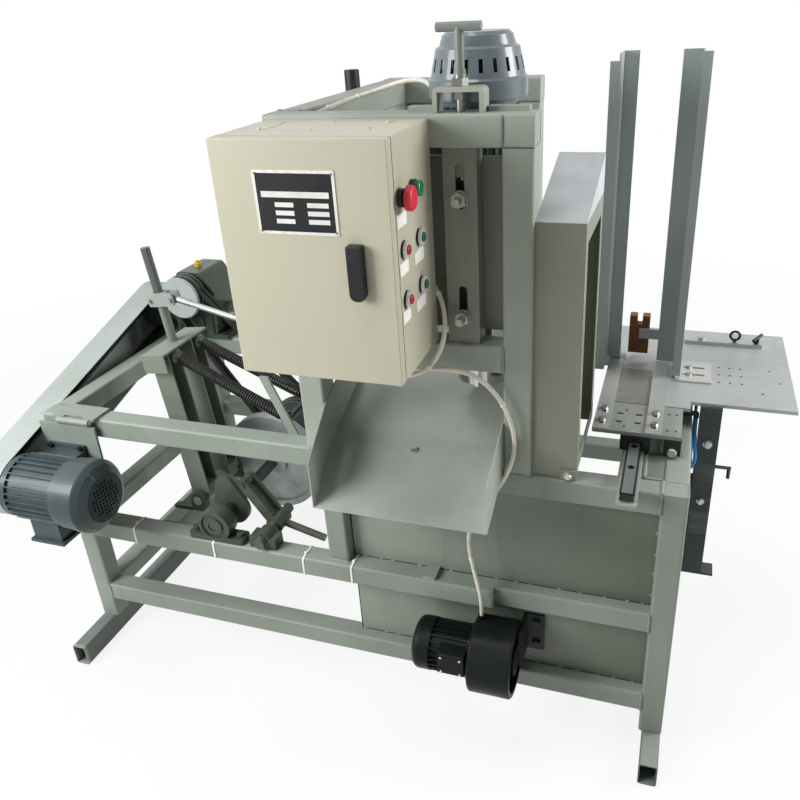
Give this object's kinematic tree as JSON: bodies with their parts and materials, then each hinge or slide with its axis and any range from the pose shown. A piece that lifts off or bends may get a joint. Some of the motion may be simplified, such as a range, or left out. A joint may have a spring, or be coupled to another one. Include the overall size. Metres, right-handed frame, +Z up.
{
  "type": "spindle shaper",
  "caption": "Free-standing spindle shaper: welded tube base, belt-driven swing arm, tower with vertical spindle motor, control cabinet, magazine feed and discharge chute.",
  "frame": {"origin": "centre of the tube base's footprint, on the floor", "axes": "+X along the machine towards the magazine feed, +Y from the operator's side to the back, +Z up"},
  "size_m": [1.787, 1.0437, 1.5185],
  "materials": {
    "frame_paint": "satin grey-green paint",
    "cabinet_paint": "satin cream paint",
    "bright_steel": "ground steel",
    "chrome_rod": "polished",
    "dark_steel": "dark paint",
    "black_alloy": "satin black paint",
    "green_alloy": "satin grey-green paint",
    "cowl_paint": "satin dark paint",
    "plate": "etched plate",
    "bezel": "bright rings, white label plates",
    "red_cap": "moulded",
    "green_cap": "moulded",
    "lamp_green": "moulded lens",
    "fibre_block": "resin laminate",
    "belt_rubber": "wrapped belt",
    "cream_cable": "sheath",
    "blue_hose": "polyurethane tube"
  },
  "bodies": {
    "machine": {"base_frame": "frame_paint", "sheet_panels": "frame_paint", "tower_frame": "frame_paint", "slot_channel": "frame_paint", "discharge_chute": "frame_paint", "cutter_hood": "frame_paint", "belt_guard": "frame_paint", "cabinet_body": "cabinet_paint", "screw_bridge": "bright_steel", "linear_rail": "bright_steel", "magazine_left": "bright_steel", "magazine_right": "bright_steel", "feed_table": "bright_steel", "clamp_bar": "bright_steel", "frame_bolts": "bright_steel", "return_springs": "bright_steel", "table_column": "dark_steel", "motor_hinge": "dark_steel", "gear_motor": "black_alloy", "air_cylinder": "black_alloy", "worm_reducer": "green_alloy", "pillow_blocks": "green_alloy", "button_bezels": "bezel", "lamp_lens": "lamp_green", "presser_block": "fibre_block", "v_belts": "belt_rubber", "spindle_cable": "cream_cable", "gear_motor_cable": "cream_cable", "roof_cable": "cream_cable", "air_hose": "blue_hose"},
    "carriage": {"motor_carriage": "bright_steel", "clamp_studs": "bright_steel", "spindle_motor": "green_alloy", "fan_cowl": "cowl_paint"},
    "spindle": {"spindle": "bright_steel", "cutter_head": "bright_steel"},
    "lift_screw": {"lift_screw": "bright_steel"},
    "door": {"cabinet_door": "cabinet_paint", "nameplate": "plate"},
    "latch": {"door_latch": "black_alloy"},
    "red_upper": {"red_button_upper": "red_cap"},
    "green_upper": {"green_button_upper": "green_cap"},
    "red_lower": {"red_button_lower": "red_cap"},
    "green_lower": {"green_button_lower": "green_cap"},
    "stop": {"stop_button": "red_cap"},
    "feed": {"rail_block": "bright_steel", "carriage_plate": "bright_steel", "strip_bolts": "bright_steel", "piston_rod": "dark_steel"},
    "hanger": {"motor_hanger": "frame_paint", "drive_motor": "green_alloy"},
    "drive_pulley": {"drive_pulley": "dark_steel"},
    "worm_pulley": {"worm_pulley": "dark_steel"},
    "output_pulley": {"output_pulley": "dark_steel"},
    "camshaft": {"camshaft": "dark_steel"},
    "lever": {"follower_lever": "dark_steel"},
    "arm": {"swing_arm": "frame_paint", "stroke_rod": "chrome_rod", "rod_clamp": "chrome_rod"},
    "pull_rod": {"pull_rod": "chrome_rod"}
  },
  "joints": [
    {"name": "spindle_lift", "type": "slide", "parent": "machine", "child": "carriage", "axis": [0, 0, 1], "range_m": [-0.01, 0.02], "deforming": ["spindle_cable", "roof_cable"]},
    {"name": "spindle_turn", "type": "hinge", "parent": "carriage", "child": "spindle", "pos_m": [0.32, -0.205, 1], "axis": [0, 0, 1], "continuous": true},
    {"name": "lift_screw_turn", "type": "hinge", "parent": "machine", "child": "lift_screw", "pos_m": [0.32, -0.322, 1.4], "axis": [0, 0, 1], "range_deg": [-1801, 3601]},
    {"name": "door_swing", "type": "hinge", "parent": "machine", "child": "door", "pos_m": [-0.029, -0.53, 1.175], "axis": [0, 0, -1], "range_deg": [0, 110]},
    {"name": "latch_turn", "type": "hinge", "parent": "door", "child": "latch", "pos_m": [0.21, -0.55, 1.201], "axis": [0, 1, 0], "range_deg": [0, 90]},
    {"name": "red_upper_press", "type": "slide", "parent": "machine", "child": "red_upper", "axis": [-1, 0, 0], "range_m": [0, 0.0025], "stiffness_N_per_m": 400},
    {"name": "green_upper_press", "type": "slide", "parent": "machine", "child": "green_upper", "axis": [-1, 0, 0], "range_m": [0, 0.0025], "stiffness_N_per_m": 400},
    {"name": "red_lower_press", "type": "slide", "parent": "machine", "child": "red_lower", "axis": [-1, 0, 0], "range_m": [0, 0.0025], "stiffness_N_per_m": 400},
    {"name": "green_lower_press", "type": "slide", "parent": "machine", "child": "green_lower", "axis": [-1, 0, 0], "range_m": [0, 0.0025], "stiffness_N_per_m": 400},
    {"name": "stop_press", "type": "slide", "parent": "machine", "child": "stop", "axis": [-1, 0, 0], "range_m": [0, 0.005], "stiffness_N_per_m": 800},
    {"name": "feed_slide", "type": "slide", "parent": "machine", "child": "feed", "axis": [0, 1, 0], "range_m": [-0.12, 0]},
    {"name": "hanger_swing", "type": "hinge", "parent": "machine", "child": "hanger", "pos_m": [-0.675, -0.362, 0.69], "axis": [1, 0, 0], "range_deg": [-2, 0], "deforming": ["v_belts"]},
    {"name": "drive_turn", "type": "hinge", "parent": "hanger", "child": "drive_pulley", "pos_m": [-0.795, -0.455, 0.556], "axis": [1, 0, 0], "continuous": true},
    {"name": "worm_turn", "type": "hinge", "parent": "machine", "child": "worm_pulley", "pos_m": [-0.795, 0.21, 0.753], "axis": [1, 0, 0], "continuous": true},
    {"name": "output_turn", "type": "hinge", "parent": "machine", "child": "output_pulley", "pos_m": [-0.634, 0.12, 0.833], "axis": [0, 1, 0], "continuous": true},
    {"name": "cam_turn", "type": "hinge", "parent": "machine", "child": "camshaft", "pos_m": [-0.316, 0, 0.44], "axis": [0, 1, 0], "continuous": true},
    {"name": "lever_swing", "type": "hinge", "parent": "machine", "child": "lever", "pos_m": [-0.19, -0.27, 0.42], "axis": [0, 1, 0], "range_deg": [0, 10]},
    {"name": "arm_swing", "type": "hinge", "parent": "machine", "child": "arm", "pos_m": [-0.425, -0.169, 0.43], "axis": [0, 1, 0], "range_deg": [-4, 4], "stiffness_Nm_per_rad": 600, "deforming": ["return_springs"]},
    {"name": "pull_rod_swing", "type": "hinge", "parent": "arm", "child": "pull_rod", "pos_m": [-0.44502, -0.169, 0.94573], "axis": [0, 1, 0], "range_deg": [-4.01, 4.01]}
  ],
  "couplings": [
    {"joint": "lift_screw_turn", "follows": "spindle_lift", "rad_per_m": 3141.6},
    {"joint": "output_turn", "follows": "cam_turn", "ratio": 1.6667},
    {"joint": "worm_turn", "follows": "cam_turn", "ratio": 50},
    {"joint": "drive_turn", "follows": "cam_turn", "ratio": 61.111},
    {"joint": "pull_rod_swing", "follows": "arm_swing", "ratio": -1}
  ]
}
